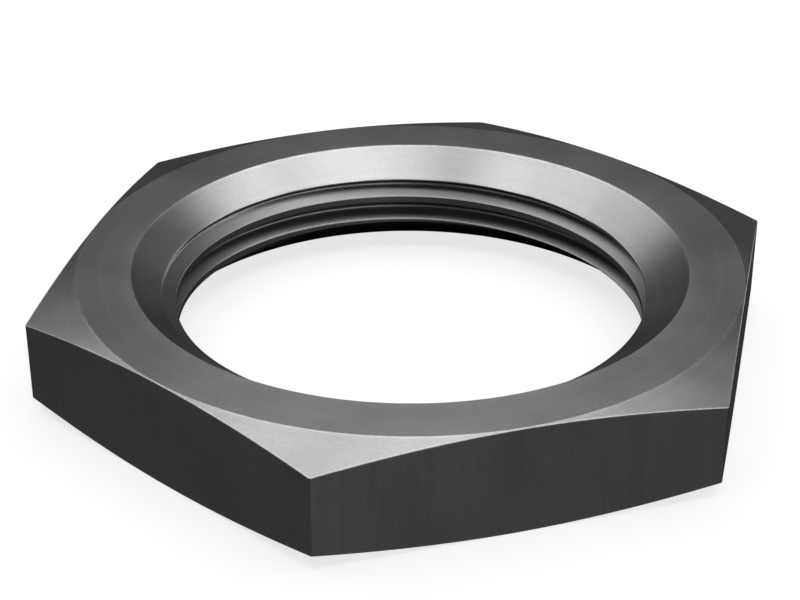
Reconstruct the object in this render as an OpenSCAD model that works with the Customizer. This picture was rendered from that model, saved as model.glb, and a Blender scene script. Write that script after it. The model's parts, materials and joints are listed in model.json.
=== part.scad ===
// Hex lock nut: a thin hexagon nut that is run up behind another nut, a
// bulkhead or a gland and jams against it. Turned and milled from one piece of
// steel bar, the same on both faces. All sizes are in millimetres.
//
// The nut lies on its lower face: the origin is the middle of that face, +Z is
// the axis of the thread, two corners lie on the X axis and two flats face
// along Y.

/* [Hexagon] */
// Width across two opposite flats, the size of the wrench
across_flats = 24; // [22.5:0.5:30]
// Height from face to face
thickness = 3.9; // [3:0.1:12]

/* [Corner chamfer] */
// Slope of the turned chamfer, measured from the flat face
chamfer_angle = 15; // [8:1:25]
// How far inside the flats the flat face ends
chamfer_inset = 0.05; // [0.02:0.01:0.4]

/* [Threaded bore] */
// Nominal diameter of the metric thread
thread_diameter = 18; // [10:0.5:18.5]
// Pitch of the thread
thread_pitch = 1; // [0.5:0.25:2]

/* [Countersinks] */
// How far each countersink opens past the nominal radius of the thread
countersink_margin = 1; // [0.2:0.1:1.5]
// Depth of each countersink, from the face to the bore
countersink_depth = 1.2; // [0.4:0.1:1.4]

/* [Hidden] */

// Sides of the wrench hexagon
hexagon_sides = 6;
// Turned shapes that pass through a surface run on past it by this much
overrun = 0.2;
// Curves are true arcs: this only sets how finely they are previewed
preview_facets = 120;

// Distance from the axis to a flat and to a corner of the hexagon
flat_radius = across_flats / 2;
corner_radius = flat_radius / cos(180 / hexagon_sides);
// Radius of the circle where the flat face ends and the chamfer begins
face_radius = flat_radius - chamfer_inset;
// Basic metric profile with 60 degree flanks: five eighths of the sharp triangle
// stand between the nominal diameter and the crests
sharp_height = thread_pitch * cos(30);
thread_depth = sharp_height * 5 / 8;
// The crests of the thread stand on this radius, and the bore is cut to it
bore_radius = thread_diameter / 2 - thread_depth;
countersink_radius = thread_diameter / 2 + countersink_margin;

// The hexagon bar, parted off to the thickness, with two corners on the X axis
module hexagon_blank() {
    linear_extrude(height = thickness)
        circle(r = corner_radius, $fn = hexagon_sides);
}

// What the lathe leaves: a disc with a flat face and a conical chamfer on each
// side. It is wider than the corners, so the flats keep their full width.
module chamfered_disc() {
    rim_radius = corner_radius + overrun;
    rim_drop = (rim_radius - face_radius) * tan(chamfer_angle);
    rotate_extrude($fn = preview_facets)
        polygon([
            [0, 0],
            [face_radius, 0],
            [rim_radius, rim_drop],
            [rim_radius, thickness - rim_drop],
            [face_radius, thickness],
            [0, thickness]
        ]);
}

// The drill and both countersinks as one turned profile. Each cone keeps its
// slope past the face, so it opens in the face as a clean circle.
module bore_with_countersinks() {
    slope = (countersink_radius - bore_radius) / countersink_depth;
    open_radius = countersink_radius + overrun * slope;
    rotate_extrude($fn = preview_facets)
        polygon([
            [0, -overrun],
            [open_radius, -overrun],
            [bore_radius, countersink_depth],
            [bore_radius, thickness - countersink_depth],
            [open_radius, thickness + overrun],
            [0, thickness + overrun]
        ]);
}

// The whole nut. Where the cones of the disc leave the hexagon, each flat ends
// in a hyperbola that dips towards the corners.
module hex_lock_nut() {
    color("dimgray")
        difference() {
            intersection() {
                hexagon_blank();
                chamfered_disc();
            }
            bore_with_countersinks();
        }
}

hex_lock_nut();
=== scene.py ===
# %% [markdown]
# # A hex lock nut in dark satin steel
#
# A lock nut is a thin hexagon nut that is run up behind another nut, or behind a panel, and
# jams against it. This one is turned and milled from one piece of hexagon steel bar, so the
# whole object is one closed surface: six wrench flats, a flat ring on each face, a shallow
# cone that takes the points off the corners, and a threaded bore with a wide countersink at
# each end.
#
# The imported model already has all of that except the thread, which is too fine for it. So this
# scene makes the nut's surface again at the same size, with the thread cut into the bore and
# with the tiny rounding that every machined edge has, and then gives each surface the finish
# that its tool would leave.

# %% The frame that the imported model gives
import math

import bpy
import numpy as np
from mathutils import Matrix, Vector
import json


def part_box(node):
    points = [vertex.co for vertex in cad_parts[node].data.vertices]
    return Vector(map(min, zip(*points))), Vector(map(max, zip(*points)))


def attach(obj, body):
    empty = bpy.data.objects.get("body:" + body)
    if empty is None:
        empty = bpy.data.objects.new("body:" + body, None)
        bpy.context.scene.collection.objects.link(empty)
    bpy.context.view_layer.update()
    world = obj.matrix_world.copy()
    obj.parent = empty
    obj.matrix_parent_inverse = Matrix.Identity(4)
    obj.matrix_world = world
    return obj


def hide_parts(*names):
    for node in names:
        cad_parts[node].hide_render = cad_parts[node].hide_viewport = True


mm = 0.001  # every length is in metres, so a millimetre has a name

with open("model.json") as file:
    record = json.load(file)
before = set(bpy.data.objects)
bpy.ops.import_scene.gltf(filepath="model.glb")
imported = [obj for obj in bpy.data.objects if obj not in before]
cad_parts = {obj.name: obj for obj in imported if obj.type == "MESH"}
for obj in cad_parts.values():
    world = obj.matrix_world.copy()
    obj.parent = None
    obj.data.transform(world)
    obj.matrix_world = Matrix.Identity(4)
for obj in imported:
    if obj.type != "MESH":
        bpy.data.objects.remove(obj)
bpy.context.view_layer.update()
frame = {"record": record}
low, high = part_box("hex_lock_nut")

# %% [markdown]
# ## The driving sizes
#
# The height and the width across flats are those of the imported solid's box. The crest radius
# and the length of the plain bore are what its thread mount states, and the countersinks take
# up the rest of the height. The other sizes repeat the solid's own: a 15 degree chamfer that
# starts just inside the flats, and countersinks that open 1 mm past the nominal thread.

# %% Sizes of the nut
thickness = float(high[2] - low[2])
flat_radius = float(high[1] - low[1]) / 2
corner_radius = flat_radius / math.cos(math.radians(30))

thread_mount = next(m for m in frame["record"]["mounts"] if m["name"] == "thread")
crest_radius = thread_mount["dims"]["r_mm"] * mm
bore_length = thread_mount["dims"]["length_mm"] * mm
countersink_depth = (thickness - bore_length) / 2

pitch = 1.0 * mm
nominal_radius = 9.0 * mm
countersink_radius = nominal_radius + 1.0 * mm
face_radius = flat_radius - 0.05 * mm
chamfer_slope = math.tan(math.radians(15))
countersink_slope = (countersink_radius - crest_radius) / countersink_depth

print(f"height {thickness / mm:.3f}, across flats {2 * flat_radius / mm:.3f}, "
      f"across corners {2 * corner_radius / mm:.3f} mm")
print(f"crests {2 * crest_radius / mm:.3f} mm across, countersinks {countersink_depth / mm:.2f} mm deep")

# %% [markdown]
# ## The outline of the hexagon
#
# Seen along its axis the nut is a hexagon. It could be six straight lines, but a perfectly
# sharp corner never catches the light, and that is what makes a model look like cardboard. So
# each corner is an arc of a tenth of a millimetre. The outline is wanted as a radius for each
# angle, because the rest of the nut is turned, and turned shapes are easiest round an axis.

# %% Radius of the hexagon at every angle
corner_rounding = 0.10 * mm
columns_per_flat = 72
columns_per_corner = 6

arc_centre = corner_radius - corner_rounding / math.cos(math.radians(30))


def hexagon_columns():
    """The angles of the columns of points and the outline's radius at each of them.

    On a flat the radius is flat_radius / cos(angle from the flat's middle). On a corner the
    point runs round an arc whose middle lies on the corner's own radius, arc_centre from the
    axis: across = rounding * sin(turn), out = arc_centre + rounding * cos(turn), where turn
    goes from -30 to 30 degrees. The flat begins where the arc ends.
    """
    turn = np.radians(np.linspace(-30, 30, columns_per_corner + 1))
    across = corner_rounding * np.sin(turn)
    out = arc_centre + corner_rounding * np.cos(turn)
    arc_angle = np.arctan2(across, out)
    arc_radius = np.hypot(across, out)
    half_flat = np.radians(30) - arc_angle[-1]
    flat_angle = np.linspace(-half_flat, half_flat, columns_per_flat + 1)[1:-1]
    flat_outline = flat_radius / np.cos(flat_angle)
    angle = np.concatenate([arc_angle, flat_angle + np.radians(30)])
    radius = np.concatenate([arc_radius, flat_outline])
    sectors = np.radians(60) * np.arange(6)[:, None]
    angles = (angle[None, :] + sectors).ravel()
    radii = np.tile(radius, 6)
    return np.append(angles, angles[0] + 2 * np.pi), np.append(radii, radii[0])


angles, outline = hexagon_columns()
print(f"{len(angles) - 1} columns, outline from {outline.min() / mm:.3f} to {outline.max() / mm:.3f} mm")

# %% [markdown]
# ## Rounding a corner of the section
#
# Cut the nut along its axis and the section is a chain of straight lines. A Bevel modifier
# could round the edges between them, but the section is known at every angle, so the rounding
# can be written down: at each corner the straight lines stop a little short, and a short curve
# joins them. Extra rows close beside the curve hold the shading of the flat surfaces level,
# and carry how near the edge is, which the material uses for wear.

# %% Rows of points round one corner
rounding_steps = 4
wear_width = 0.10 * mm
wear_rows = (1.0, 0.2)  # shares of wear_width at which the rows beside a rounding lie
most_beside = 0.25  # the share of a short line that the rows beside a rounding may take


def corner_rows(before, corner, after, radius):
    """Rows of (r, z) points that take the section round one corner, and their edge values.

    Each argument is an array of points, one for each column. With u and v the unit directions
    back to the last corner and on to the next, and t = radius * tan(turn / 2), the rounding is
    corner + t * (1 - s)^2 * u + t * s^2 * v for s from 0 to 1. The rows beside it lie on the
    straight lines, a share of wear_width further out, or nearer where the lines are short.
    """
    back, onward = before - corner, after - corner
    back_length = np.linalg.norm(back, axis=1, keepdims=True)
    onward_length = np.linalg.norm(onward, axis=1, keepdims=True)
    u, v = back / back_length, onward / onward_length
    turn = np.pi - np.arccos(np.clip((u * v).sum(axis=1, keepdims=True), -1, 1))
    t = radius * np.tan(turn / 2)
    beside_back = np.minimum(wear_width, most_beside * (back_length - t))
    beside_on = np.minimum(wear_width, most_beside * (onward_length - t))
    rows, edge = [], []
    for share in wear_rows:
        rows.append(corner + (t + share * beside_back) * u)
        edge.append(1 - share)
    for s in np.linspace(0, 1, rounding_steps + 1):
        rows.append(corner + t * (1 - s) ** 2 * u + t * s**2 * v)
        edge.append(1.0)
    for share in reversed(wear_rows):
        rows.append(corner + (t + share * beside_on) * v)
        edge.append(1 - share)
    return rows, edge


# %% [markdown]
# ## The thread
#
# A metric thread is a 60 degree zigzag with flat crests and roots that climbs one pitch in
# each turn. Sweeping a tooth along a helix and cutting it from the bore with a Boolean is the
# usual way, and it leaves ragged faces where the thread runs out into the countersinks. Here
# the bore is a surface over angle and height instead: its radius is the larger of the thread's
# and the countersink's, because a tool that reaches further out leaves the deeper cut. The
# rows of points climb with the helix, so the crests and roots stay clean lines.

# %% Radius of the thread and of the countersinks
thread_depth = nominal_radius - crest_radius
crest_softness = 0.04 * mm
root_softness = 0.10 * mm
lip_softness = 0.03 * mm


def soft_max(a, b, softness):
    """The larger of a and b, with the corner between them rounded over the given softness.

    With h = 1 - |a - b| / softness, and never below 0, the corner is lifted by softness * h^2 / 4.
    """
    h = np.maximum(softness - np.abs(a - b), 0) / softness
    return np.maximum(a, b) + softness * h**2 / 4


def thread_radius(along):
    """Radius of the thread at a distance along one pitch, measured from the middle of a crest.

    d is the distance to the nearest crest's middle. The crest is flat for an eighth of a pitch
    each side, the flank then falls away outwards by tan(60) for each unit of d, and the root is
    flat at the thread's depth.
    """
    d = np.abs((along / pitch + 0.5) % 1.0 - 0.5) * pitch
    depth = soft_max((d - pitch / 8) * math.tan(math.radians(60)), 0.0, crest_softness)
    return crest_radius - soft_max(-depth, -thread_depth, root_softness)


def cone_radius(z):
    """Radius of the countersinks at height z: the crest radius in the middle of the nut, and more by
    countersink_slope for each unit of height past the end of the plain bore."""
    past = np.abs(z - thickness / 2) - bore_length / 2
    return crest_radius + countersink_slope * past


# %% [markdown]
# The helix needs a place to start. Turning it moves the spot where the thread runs out into the
# upper countersink. The photograph shows no such spot, so it lies at the front, where the near
# rim hides it from the camera. The rows lie closest where the profile turns, because the flanks
# are straight and need few.

# %% Rows of the threaded bore
thread_start = math.radians(-150)
zone_margin = 0.05 * mm

zone_reach = (nominal_radius + zone_margin - crest_radius) / countersink_slope
zone_low = countersink_depth - zone_reach
zone_high = thickness - zone_low


def rows_of_one_pitch():
    """Distances along one pitch, from the middle of a crest, at which rows lie.

    The flat crest, its rounded corner, the flank and the rounded root get even steps of their
    own, up to the middle of the root. The other half of the pitch mirrors the first.
    """
    flank = math.tan(math.radians(60))
    crest_corner = pitch / 8
    root_corner = crest_corner + thread_depth / flank
    stops = [
        0.0,
        crest_corner - crest_softness / flank,
        crest_corner + crest_softness / flank,
        root_corner - root_softness / flank,
        root_corner + root_softness / flank,
    ]
    steps = [4, 4, 9, 5]
    half = np.concatenate([
        np.linspace(a, b, n, endpoint=False) for a, b, n in zip(stops, stops[1:], steps)
    ] + [[stops[-1]]])
    return np.concatenate([half, pitch - half[:0:-1]])


def bore_rows():
    """Heights and radii of the bore's rows, from the lower countersink up to the upper one, and by how
    much the thread's radius is larger than the countersink's.

    Each row follows the helix z = start + pitch * turns, and stops at the height where the
    countersinks are wider than the thread. All rows beyond that fall on the same circle.
    """
    turns = (angles - angles[0]) / (2 * np.pi)
    crest_height = thickness - countersink_depth - pitch / 8
    base = crest_height + pitch * (angles[0] - thread_start) / (2 * np.pi)
    first = math.floor((zone_low - pitch - base) / pitch)
    last = math.ceil((zone_high - base) / pitch)
    along = (np.arange(first, last + 1)[:, None] * pitch + rows_of_one_pitch()).reshape(-1, 1)
    z = np.clip(base + along + pitch * turns, zone_low, zone_high)
    thread, cone = thread_radius(z - base - pitch * turns), cone_radius(z)
    return z, soft_max(thread, cone, lip_softness), thread - cone


bore_z, bore_r, bore_lead = bore_rows()
print(f"thread from {zone_low / mm:.2f} to {zone_high / mm:.2f} mm, in {len(bore_z)} rows, "
      f"{len(rows_of_one_pitch())} to a pitch")

# %% [markdown]
# ## The outside of the section
#
# From the end of the threaded zone the section runs up the countersink, out over the flat ring,
# down the chamfer, down the wrench flat, and back the same way underneath. Only the two points
# on the wrench flat move with the angle: they follow the hexagon, and the chamfer takes them
# lower as they go out. That alone draws the curved edges over the flats.

# %% Rows of the outside
rim_rounding = 0.06 * mm
face_rounding = 0.08 * mm
flat_rounding = 0.03 * mm
above_flat, below_flat = 3, 4  # the places in the chain of corners where the wrench flat begins and ends


def outside_rows():
    """Rows of (r, z) points from the upper end of the threaded zone round to the lower end.

    The corner over a flat lies at z = thickness - (outline - face_radius) * chamfer_slope.
    """
    ones = np.ones_like(outline)
    drop = (outline - face_radius) * chamfer_slope
    zone_radius = cone_radius(zone_high)
    upper = [
        (zone_radius * ones, zone_high * ones, 0.0),
        (countersink_radius * ones, thickness * ones, rim_rounding),
        (face_radius * ones, thickness * ones, face_rounding),
        (outline, thickness - drop, flat_rounding),
    ]
    lower = [(r, thickness - z, rounding) for r, z, rounding in reversed(upper)]
    chain = [(np.stack([r, z], axis=1), rounding) for r, z, rounding in upper + lower]
    rows, edge, corner_of = [chain[0][0]], [0.0], [0]
    for k in range(1, len(chain) - 1):
        new_rows, new_edge = corner_rows(chain[k - 1][0], chain[k][0], chain[k + 1][0], chain[k][1])
        rows += new_rows
        edge += new_edge
        corner_of += [k] * len(new_rows)
    return np.array(rows + [chain[-1][0]]), np.array(edge + [0.0]), np.array(corner_of + [len(chain) - 1])


outside, outside_edge, outside_corner = outside_rows()
print(f"{len(outside)} rows outside the threaded zone")

# %% [markdown]
# ## One closed surface
#
# The rows and columns make one grid that closes both ways, like a tyre. Where rows meet at the
# ends of the threaded zone, and where the last column meets the first, the points fall on each
# other, and they are merged so that the shell is closed. A face that shrinks to a line goes,
# and one that loses a corner becomes a triangle.

# %% The mesh of the nut
turned, drawn = 0, 1  # material slots: what the lathe and the tap cut, and the skin of the bar
merge_distance = 1e-5 * mm
off_border = 0.37  # moves the borders of the rounding away from heights and radii that are round numbers


def grid_points():
    """All rows as x = r * cos(angle), y = r * sin(angle), z.

    With them come two values for each point: edge, which is 1 on an edge, also on the lip where
    the thread meets a countersink, and tapped, which goes from 0 on a countersink to 1 on the
    thread. The last array is the finish of the strip that starts at each row.
    """
    radius = np.concatenate([outside[:, :, 0], bore_r])
    height = np.concatenate([outside[:, :, 1], bore_z])
    points = np.stack([radius * np.cos(angles), radius * np.sin(angles), height], axis=2)
    lip = np.maximum(1 - np.abs(bore_lead) / lip_softness, 0)
    edge = np.concatenate([np.broadcast_to(outside_edge[:, None], outside.shape[:2]), lip])
    tapped = np.clip(0.5 + bore_lead / (2 * lip_softness), 0, 1)
    tapped = np.concatenate([np.zeros(outside.shape[:2]), tapped])
    on_flat = (outside_corner == above_flat) | (outside_corner == below_flat)
    first_flat_row = np.flatnonzero(on_flat)[len(wear_rows)]
    last_flat_row = np.flatnonzero(on_flat)[-1] - len(wear_rows)
    finish = np.full(len(radius), turned)
    finish[first_flat_row:last_flat_row] = drawn
    return points, edge, tapped, finish


def merged_shell(points):
    """The grid's points without doubles, and its faces as quads and triangles.

    Points that round to the same multiple of merge_distance are one point.
    """
    rows, columns = points.shape[:2]
    flat = points.reshape(-1, 3)
    keys = np.floor(flat / merge_distance + off_border).astype(np.int64)
    _, first, same = np.unique(keys, axis=0, return_index=True, return_inverse=True)
    index = same.reshape(rows, columns)
    lower, upper = index, np.roll(index, -1, axis=0)
    quads = np.stack([lower[:, :-1], upper[:, :-1], upper[:, 1:], lower[:, 1:]], axis=2).reshape(-1, 4)
    keep = quads != np.roll(quads, -1, axis=1)
    return flat[first], first, quads, keep


points, edge_value, tapped_value, finish_of_row = grid_points()
vertices, first_use, quads, keep = merged_shell(points)
strip_finish = np.repeat(finish_of_row, points.shape[1] - 1)
whole, clipped = keep.sum(axis=1) == 4, keep.sum(axis=1) == 3
triangles = quads[clipped][keep[clipped]].reshape(-1, 3)
faces = quads[whole].tolist() + triangles.tolist()
face_finish = np.concatenate([strip_finish[whole], strip_finish[clipped]])

nut_mesh = bpy.data.meshes.new("lock_nut")
nut_mesh.from_pydata(vertices.tolist(), [], faces)
nut_mesh.polygons.foreach_set("material_index", face_finish.astype(np.int32))
nut_mesh.polygons.foreach_set("use_smooth", np.ones(len(faces), dtype=bool))
for name, value in (("edge_wear", edge_value), ("tapped", tapped_value)):
    layer = nut_mesh.attributes.new(name, "FLOAT", "POINT")
    layer.data.foreach_set("value", value.ravel()[first_use].astype(np.float32))
nut_mesh.update()
nut = bpy.data.objects.new("lock_nut", nut_mesh)
bpy.context.scene.collection.objects.link(nut)


# %% Measuring the shell
def shell_volume(mesh):
    """Sum over the triangles of a . (b x c) / 6, which is the volume inside a closed shell whose
    faces point outwards."""
    mesh.calc_loop_triangles()
    corners = np.empty(len(mesh.loop_triangles) * 3, dtype=np.int32)
    mesh.loop_triangles.foreach_get("vertices", corners)
    place = np.empty(len(mesh.vertices) * 3)
    mesh.vertices.foreach_get("co", place)
    a, b, c = place.reshape(-1, 3)[corners.reshape(-1, 3)].transpose(1, 0, 2)
    return float((a * np.cross(b, c)).sum() / 6)


def open_edges(mesh):
    """How many edges don't have exactly two faces."""
    loops = np.empty(len(mesh.loops), dtype=np.int32)
    mesh.loops.foreach_get("edge_index", loops)
    return int((np.bincount(loops, minlength=len(mesh.edges)) != 2).sum())


print(f"volume {shell_volume(nut_mesh) / mm**3:.1f} mm3, {len(nut_mesh.loop_triangles)} triangles, "
      f"{open_edges(nut_mesh)} open edges")

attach(nut, "root")
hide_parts("hex_lock_nut")

# %% [markdown]
# ## The camera
#
# The photograph looks down on the nut from a little above, with one corner towards us and a
# wrench flat on each side of it. The view was worked out from the corners: how far round the
# nut the camera stands, how high, how far off, and the focal length. It aims just beside the
# middle of the nut, so that the corners land where they do in the photograph.

# %% Camera at the photograph's viewing angle
photo_width = 800
focal_pixels = 1947.8
view_azimuth = math.radians(-17.094)
view_elevation = math.radians(28.535)
view_distance = 71.17 * mm
aim_right, aim_up = -0.360 * mm, 0.198 * mm

back = Vector((
    math.sin(view_azimuth) * math.cos(view_elevation),
    -math.cos(view_azimuth) * math.cos(view_elevation),
    math.sin(view_elevation),
))
right = Vector((0, 0, 1)).cross(back).normalized()
up = back.cross(right)
aim = Vector((0, 0, thickness / 2)) + right * aim_right + up * aim_up

camera_data = bpy.data.cameras.new("camera")
camera_data.sensor_width = 36
camera_data.lens = focal_pixels * camera_data.sensor_width / photo_width
camera_data.clip_start, camera_data.clip_end = 1 * mm, 100.0
camera = bpy.data.objects.new("camera", camera_data)
camera.location = aim + back * view_distance
camera.rotation_mode = "QUATERNION"
camera.rotation_quaternion = (-back).to_track_quat("-Z", "Y")
bpy.context.scene.collection.objects.link(camera)
bpy.context.scene.camera = camera
print(f"lens {camera_data.lens:.1f} mm, camera at", [round(v / mm, 1) for v in camera.location], "mm")

# %% [markdown]
# ## Steel as three tools leave it
#
# The whole nut is one dark, satin steel, but three tools made its surfaces. The lathe leaves
# fine rings round the axis on the faces, the chamfers and the countersinks. The tap leaves the
# thread a little rougher and darker. The flats are the skin of the drawn bar, with faint streaks
# along it. So there are two materials of one recipe, with rings and with streaks, and the
# first of them turns darker where the mesh says that the tap has cut.
#
# A picture of brushed metal stretched over the part would be the quick way, and it would smear
# on the cones. A procedural pattern read from the object's own coordinates stays in scale
# everywhere. All patterns work in millimetres.

# %% Helpers for shader nodes
def add_node(tree, kind, inputs=(), **settings):
    """A new shader node, with its settings set and its inputs linked to sockets or set to values."""
    node = tree.nodes.new(kind)
    for name, value in settings.items():
        setattr(node, name, value)
    for key, value in dict(inputs).items():
        if isinstance(value, bpy.types.NodeSocket):
            tree.links.new(value, node.inputs[key])
        else:
            node.inputs[key].default_value = value
    return node


def math_node(tree, operation, first, second=0.0, third=0.0):
    """One sum, product or other operation on two or three numbers."""
    inputs = {0: first, 1: second, 2: third}
    return add_node(tree, "ShaderNodeMath", inputs, operation=operation).outputs[0]


def noise(tree, vector, scale, detail=2.0, roughness=0.5):
    """A noise between 0 and 1 whose features are 1 / scale across."""
    inputs = {"Vector": vector, "Scale": scale, "Detail": detail, "Roughness": roughness}
    return add_node(tree, "ShaderNodeTexNoise", inputs).outputs["Fac"]


def remap(tree, value, low_in, high_in, low_out, high_out):
    """The value carried in a straight line from one range to another, and held at its ends."""
    inputs = {
        "Value": value,
        "From Min": low_in,
        "From Max": high_in,
        "To Min": low_out,
        "To Max": high_out,
    }
    return add_node(tree, "ShaderNodeMapRange", inputs).outputs["Result"]


# %% [markdown]
# The marks are heights between 0 and 1. For the lathe they depend only on the distance from the
# axis and the height, so every mark is a ring, on a flat face and on a cone alike. For the bar
# they hardly change along Z, so every mark is a streak.

# %% The marks of the tools
rings_per_mm = 7.0
wander_per_mm, wander_reach = 0.25, 0.06  # how fast and how far, in mm, a ring strays from its circle
streaks_per_mm = 7.0
streak_stretch = 30
mark_detail, mark_roughness = 3.0, 0.6


def lathe_marks(tree, place):
    """Noise over (distance from the axis, height), which draws rings. A slow wander keeps the rings
    from being perfect circles."""
    parts = add_node(tree, "ShaderNodeSeparateXYZ", {0: place}).outputs
    squares = [math_node(tree, "MULTIPLY", parts[k], parts[k]) for k in (0, 1)]
    distance = math_node(tree, "SQRT", math_node(tree, "ADD", *squares))
    stray = noise(tree, place, wander_per_mm, detail=1.0)
    wander = math_node(tree, "MULTIPLY", stray, wander_reach)
    section = add_node(tree, "ShaderNodeCombineXYZ", {
        0: math_node(tree, "ADD", distance, wander),
        1: parts[2],
    }).outputs[0]
    return noise(tree, section, rings_per_mm, mark_detail, mark_roughness)


def bar_marks(tree, place):
    """Noise that is stretched along Z, which draws streaks down the flats."""
    inputs = {0: place, 1: (1.0, 1.0, 1 / streak_stretch)}
    stretched = add_node(tree, "ShaderNodeVectorMath", inputs, operation="MULTIPLY")
    return noise(tree, stretched.outputs[0], streaks_per_mm, mark_detail, mark_roughness)


# %% [markdown]
# The recipe: a dark grey that drifts by several percent, as oxide and oil do, with a fine grain
# and the tool marks in it; a roughness that follows the marks and a slow smear of handling; very
# low bumps, because marks in satin steel are a fraction of a micron deep; a brighter, smoother
# line where the edges have been rubbed bare, here more and there less; and a duller thread. The
# dark skin also takes away the strong shine that bare metal has where it is seen nearly edge on.

# %% The dark steel recipe
oxide_grey = (0.30, 0.30, 0.304)
dark_tone, light_tone, tapped_tone = 0.88, 1.12, 0.80  # shares of oxide_grey
rubbed_grey = (0.42, 0.42, 0.425)
grazing_tint = 0.4  # bare metal would be 1

drift_per_mm, patches_per_mm, grain_per_mm = 0.35, 1.6, 8.0
drift_share, mark_share, grain_share = 0.45, 0.25, 0.30  # how much each adds to the tone
least_rub = 0.15  # how bare an edge is where it has been rubbed least

satin_roughness = 0.315
mark_spread, drift_spread = 0.012, 0.010  # each way from the satin roughness
tapped_rougher, rubbed_smoother = 0.04, 0.012


def shaded(name):
    """A new material, its node tree and the shader in it."""
    material = bpy.data.materials.new(name)
    material.use_nodes = True
    return material, material.node_tree, material.node_tree.nodes["Principled BSDF"]


def attribute(tree, name):
    """A number that the mesh carries at its points."""
    return add_node(tree, "ShaderNodeAttribute", attribute_name=name).outputs["Fac"]


def mixed(tree, share, first, second):
    """A colour between two others: the first where the share is 0, the second where it is 1."""
    inputs = {0: share, 6: first, 7: second}
    return add_node(tree, "ShaderNodeMix", inputs, data_type="RGBA").outputs[2]


def dark_steel(name, marks, mark_height, grain_height):
    """A satin steel material. marks is the tool's pattern, and the heights are those of the marks
    and of the grain, in metres."""
    material, tree, shader = shaded(name)
    shader.inputs["Metallic"].default_value = 1.0
    shader.inputs["Specular Tint"].default_value = (*[grazing_tint] * 3, 1)

    coordinates = add_node(tree, "ShaderNodeTexCoord").outputs["Object"]
    in_mm = {0: coordinates, 3: 1 / mm}
    place = add_node(tree, "ShaderNodeVectorMath", in_mm, operation="SCALE").outputs[0]
    cut = marks(tree, place)
    drift = noise(tree, place, drift_per_mm, detail=3.0)
    grain = noise(tree, place, grain_per_mm, detail=2.0, roughness=0.6)
    tapped = attribute(tree, "tapped")
    patchy = remap(tree, noise(tree, place, patches_per_mm, detail=4.0), 0.35, 0.7, least_rub, 1.0)
    near_edge = math_node(tree, "POWER", attribute(tree, "edge_wear"), 2.0)
    bare = math_node(tree, "MULTIPLY", near_edge, patchy)

    dark, light, dull = (
        [c * tone for c in oxide_grey] + [1] for tone in (dark_tone, light_tone, tapped_tone)
    )
    tone = math_node(tree, "MULTIPLY", cut, mark_share)
    tone = math_node(tree, "MULTIPLY_ADD", drift, drift_share, tone)
    tone = math_node(tree, "MULTIPLY_ADD", grain, grain_share, tone)
    tone = remap(tree, tone, 0.35, 0.65, 0.0, 1.0)
    oxide = mixed(tree, tapped, mixed(tree, tone, dark, light), dull)
    colour = mixed(tree, bare, oxide, [*rubbed_grey, 1])
    tree.links.new(colour, shader.inputs["Base Color"])

    total = remap(tree, cut, 0.3, 0.7, satin_roughness - mark_spread, satin_roughness + mark_spread)
    for part in (
        remap(tree, drift, 0.3, 0.7, -drift_spread, drift_spread),
        math_node(tree, "MULTIPLY", tapped, tapped_rougher),
        math_node(tree, "MULTIPLY", bare, -rubbed_smoother),
    ):
        total = math_node(tree, "ADD", total, part)
    tree.links.new(total, shader.inputs["Roughness"])

    fine = add_node(tree, "ShaderNodeBump", {"Height": grain, "Distance": grain_height, "Strength": 1.0})
    scored = add_node(tree, "ShaderNodeBump", {
        "Height": cut, "Distance": mark_height, "Strength": 1.0, "Normal": fine.outputs[0],
    })
    tree.links.new(scored.outputs[0], shader.inputs["Normal"])
    return material


micron = 1e-6
nut_mesh.materials.append(dark_steel("turned steel", lathe_marks, 0.35 * micron, 0.20 * micron))
nut_mesh.materials.append(dark_steel("drawn bar skin", bar_marks, 0.25 * micron, 0.20 * micron))
print("finishes:", [m.name for m in nut_mesh.materials])

# %% [markdown]
# ## The paper sweep
#
# The photograph has nothing but white round the nut. A photographer gets that with a sheet of
# white paper that lies under the object and curves up behind it, so there is no horizon. This
# sweep does it on every side: it is a turned surface too, flat in the middle, with a large
# quarter circle up to a wall. It is kept out of the nut's reflections and lets the lamps' light
# through, because the photograph's flats reflect something dark, and not a white floor.

# %% A turned sweep of paper
floor_rings = [0.2, 0.5]  # metres from the axis
floor_reach, sweep_bend, wall_top = 0.8, 0.4, 0.9
sheet_columns, bend_rows = 72, 13
paper_gap = 0.01 * mm  # the paper lies this far under the nut, so that no two faces share a plane


def sweep_profile():
    """The section as (distance, height): flat to floor_reach, then the quarter circle
    (floor_reach + bend * sin(turn), bend * (1 - cos(turn))), then straight up to wall_top."""
    turn = np.radians(np.linspace(0, 90, bend_rows))
    distance = floor_reach + sweep_bend * np.sin(turn)
    height = sweep_bend * (1 - np.cos(turn))
    distance = np.concatenate([floor_rings, distance, [distance[-1]]])
    height = np.concatenate([np.zeros(len(floor_rings)), height, [wall_top]])
    return distance, height


def turned_sheet(name, distance, height, filled):
    """Turns a section round the Z axis. The innermost ring is closed with one flat polygon if the
    sheet is filled, and is left as a hole if not."""
    turn = np.linspace(0, 2 * np.pi, sheet_columns, endpoint=False)
    rings = np.stack([
        distance[:, None] * np.cos(turn),
        distance[:, None] * np.sin(turn),
        np.broadcast_to(height[:, None], (len(height), sheet_columns)),
    ], axis=2)
    index = np.arange(len(distance) * sheet_columns).reshape(-1, sheet_columns)
    inner, outer = index[:-1], index[1:]
    quads = np.stack([inner, outer, np.roll(outer, -1, axis=1), np.roll(inner, -1, axis=1)], axis=2)
    middle = [index[0].tolist()] if filled else []
    mesh = bpy.data.meshes.new(name)
    mesh.from_pydata(rings.reshape(-1, 3).tolist(), [], middle + quads.reshape(-1, 4).tolist())
    mesh.polygons.foreach_set("use_smooth", np.ones(len(mesh.polygons), dtype=bool))
    sheet = bpy.data.objects.new(name, mesh)
    bpy.context.scene.collection.objects.link(sheet)
    return sheet


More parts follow.
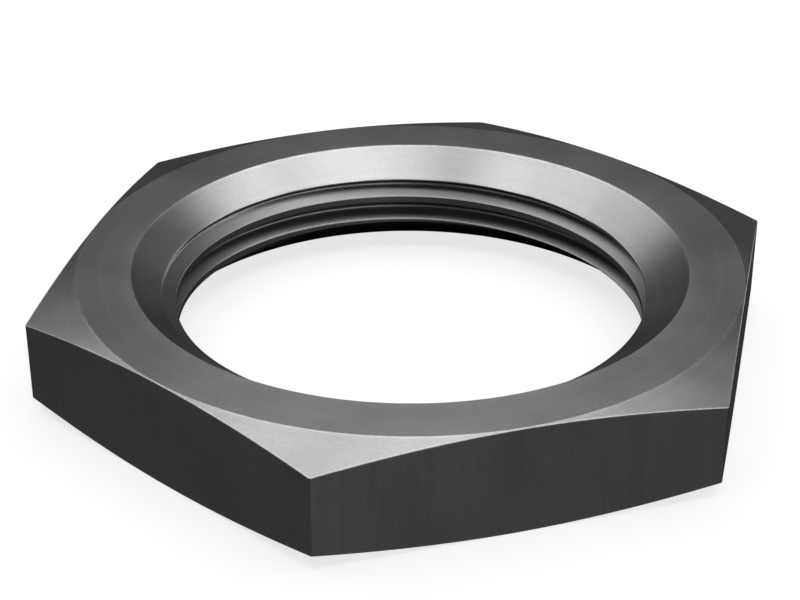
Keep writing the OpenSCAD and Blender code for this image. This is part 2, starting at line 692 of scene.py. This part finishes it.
sweep_distance, sweep_height = sweep_profile()
sweep = turned_sheet("paper_sweep", sweep_distance, sweep_height - paper_gap, filled=True)
sweep.visible_glossy = False
sweep.visible_diffuse = False
sweep.visible_shadow = False

# %% [markdown]
# Near the nut a good part of the paper's light is what it scatters, so that the nut leaves a
# faint shadow on it. Further off the lamps don't reach it, and there all of the light is its
# own, as if the paper were lit from behind. So it is the same white all the way up the wall.

# %% White paper
paper_scatter = 0.25
mottle_per_metre, mottle_spread = 300.0, 0.03
near_glow, far_glow = 0.76, 1.0
glow_near_end, glow_far_start = 0.1, 0.4  # distances in metres between which the glow rises


def matt(name):
    """A material without any gloss, its node tree and the shader in it."""
    material, tree, shader = shaded(name)
    shader.inputs["Roughness"].default_value = 0.9
    shader.inputs["Specular IOR Level"].default_value = 0.0
    return material, tree, shader


def white_paper():
    """Matt white paper with a faint mottle, which scatters light and gives light of its own."""
    material, tree, shader = matt("white paper")
    coordinates = add_node(tree, "ShaderNodeTexCoord").outputs["Object"]
    mottle = noise(tree, coordinates, mottle_per_metre, detail=3.0)
    least, most = paper_scatter * (1 - mottle_spread), paper_scatter * (1 + mottle_spread)
    scattered = remap(tree, mottle, 0.3, 0.7, least, most)
    tint = add_node(tree, "ShaderNodeCombineColor", {0: scattered, 1: scattered, 2: scattered})
    tree.links.new(tint.outputs[0], shader.inputs["Base Color"])
    shader.inputs["Emission Color"].default_value = (1, 1, 1, 1)
    reach = add_node(tree, "ShaderNodeVectorMath", {0: coordinates}, operation="LENGTH").outputs["Value"]
    glow = remap(tree, reach, glow_near_end, glow_far_start, near_glow, far_glow)
    tree.links.new(glow, shader.inputs["Emission Strength"])
    return material


sweep.data.materials.append(white_paper())

# %% [markdown]
# The lower countersink looks down at the paper under the nut, which lies in the nut's own shade,
# and the narrow flat on the far right looks past the nut, low down. Both are nearly black in the
# photograph. As the paper is kept out of the reflections, two black sheets of painted shade lie just
# under it, out of sight: a ring no wider than the nut's flat face, which only the countersink mirrors,
# and a strip beside the narrow flat, which paints a dark reflection into it.

# %% Black sheets under the paper, as painted shade
card_height = -2 * paper_gap
painted_shade_grey = 0.01
narrow_flat_azimuth = math.radians(-30)
strip_width, strip_length = 10 * mm, 22 * mm

# Painted shade: a near-black matt material for the sheets that stand in for shade in the reflections.
painted_shade_card, _, painted_shade_shader = matt("painted shade card")
painted_shade_shader.inputs["Base Color"].default_value = (*[painted_shade_grey] * 3, 1)


def painted_shade_strip():
    """A black sheet along the foot of the narrow flat, from its near corner to well past its far one,
    where the flat looks: painted shade, which darkens the flat's reflection. It slants back from the
    near corner, so that the wrench flat in front doesn't see it."""
    out = np.array([math.cos(narrow_flat_azimuth), math.sin(narrow_flat_azimuth), 0])
    onward = np.array([-out[1], out[0], 0])
    half_side = corner_radius / 2  # a side of a hexagon is as long as its corner radius
    near = flat_radius * out - half_side * onward + np.array([0, 0, card_height])
    far = near + strip_length * onward
    corners = [near, near + strip_width * (out + onward), far + strip_width * out, far]
    mesh = bpy.data.meshes.new("painted_shade_strip")
    mesh.from_pydata([c.tolist() for c in corners], [], [(0, 1, 2, 3)])
    card = bpy.data.objects.new("painted_shade_strip", mesh)
    bpy.context.scene.collection.objects.link(card)
    return card


# Painted shade: a dark ring standing in for the paper in the nut's own shade, which only the lower
# countersink mirrors.
ring_distance = np.array([crest_radius, face_radius])
painted_shade_ring = turned_sheet("painted_shade_ring", ring_distance, np.full(2, card_height), filled=False)
for card in (painted_shade_ring, painted_shade_strip()):
    card.data.materials.append(painted_shade_card)

# %% [markdown]
# ## A dome of soft lamps
#
# Satin metal shows the room more than itself: each face is a blurred picture of whatever lies in
# its mirror direction. One lamp leaves most of the nut black, and an even sky makes every face
# the same grey. Here twenty-six round soft lamps hang in a dome over the nut, each facing it, at
# a few plain levels. The levels are set one by one: a lamp steps up where a face is darker than in the
# photograph, and down where it is lighter. The sky stays darkest behind the nut, low down,
# and that is what gives the flat ring its quiet grey.
#
# Lamps near the horizon stay at level 1 or below, because stronger ones would bleach the far
# corners of the nut in a view from behind. Only the one that lights the left side of the
# countersink is stronger. One faint lamp shines up through the paper from the front, and lifts
# the wrench flat on the right.

# %% Lamps round the nut
dome_radius, lamp_size = 0.5, 0.2
level_one = 5 / 3  # radiance of a lamp whose level is 1
sky_level = 0.06
lamps_at_level = {
    # places as (elevation, azimuth) in degrees, azimuth counted from +X towards +Y
    2.5: [(5, 30)],
    2.0: [(80, 270), (65, 180), (65, 315)],
    1.5: [(50, 0), (50, 72), (50, 144)],
    1.0: [(65, 0), (65, 45), (65, 90), (35, 0), (35, 270), (20, 300), (20, 330),
          (5, 0), (5, 120), (5, 270), (5, 300)],
    0.75: [(50, 108), (35, 120)],
    0.5: [(65, 135), (35, 210), (20, 120), (5, 180)],
    0.25: [(50, 36)],
    0.1: [(-20, 270)],
}


def hang_lamp(elevation, azimuth, level):
    """A disc lamp on the dome, facing the middle, whose power is radiance * pi * area."""
    data = bpy.data.lights.new("dome_lamp", "AREA")
    data.shape = "DISK"
    data.size = lamp_size
    area = math.pi * (lamp_size / 2) ** 2
    data.energy = level * level_one * math.pi * area
    e, a = math.radians(elevation), math.radians(azimuth)
    outward = Vector((math.cos(a) * math.cos(e), math.sin(a) * math.cos(e), math.sin(e)))
    lamp = bpy.data.objects.new("dome_lamp", data)
    lamp.location = outward * dome_radius
    lamp.rotation_mode = "QUATERNION"
    lamp.rotation_quaternion = outward.to_track_quat("Z", "Y")
    lamp.visible_camera = False
    bpy.context.scene.collection.objects.link(lamp)
    return data.energy


watts = [hang_lamp(*place, level) for level, places in lamps_at_level.items() for place in places]
print(f"{len(watts)} lamps, {sum(watts):.2f} W in all")

world = bpy.data.worlds.new("world")
world.use_nodes = True
world.node_tree.nodes["Background"].inputs["Color"].default_value = (1, 1, 1, 1)
world.node_tree.nodes["Background"].inputs["Strength"].default_value = sky_level * level_one
bpy.context.scene.world = world
bpy.context.scene.view_settings.view_transform = "Standard"
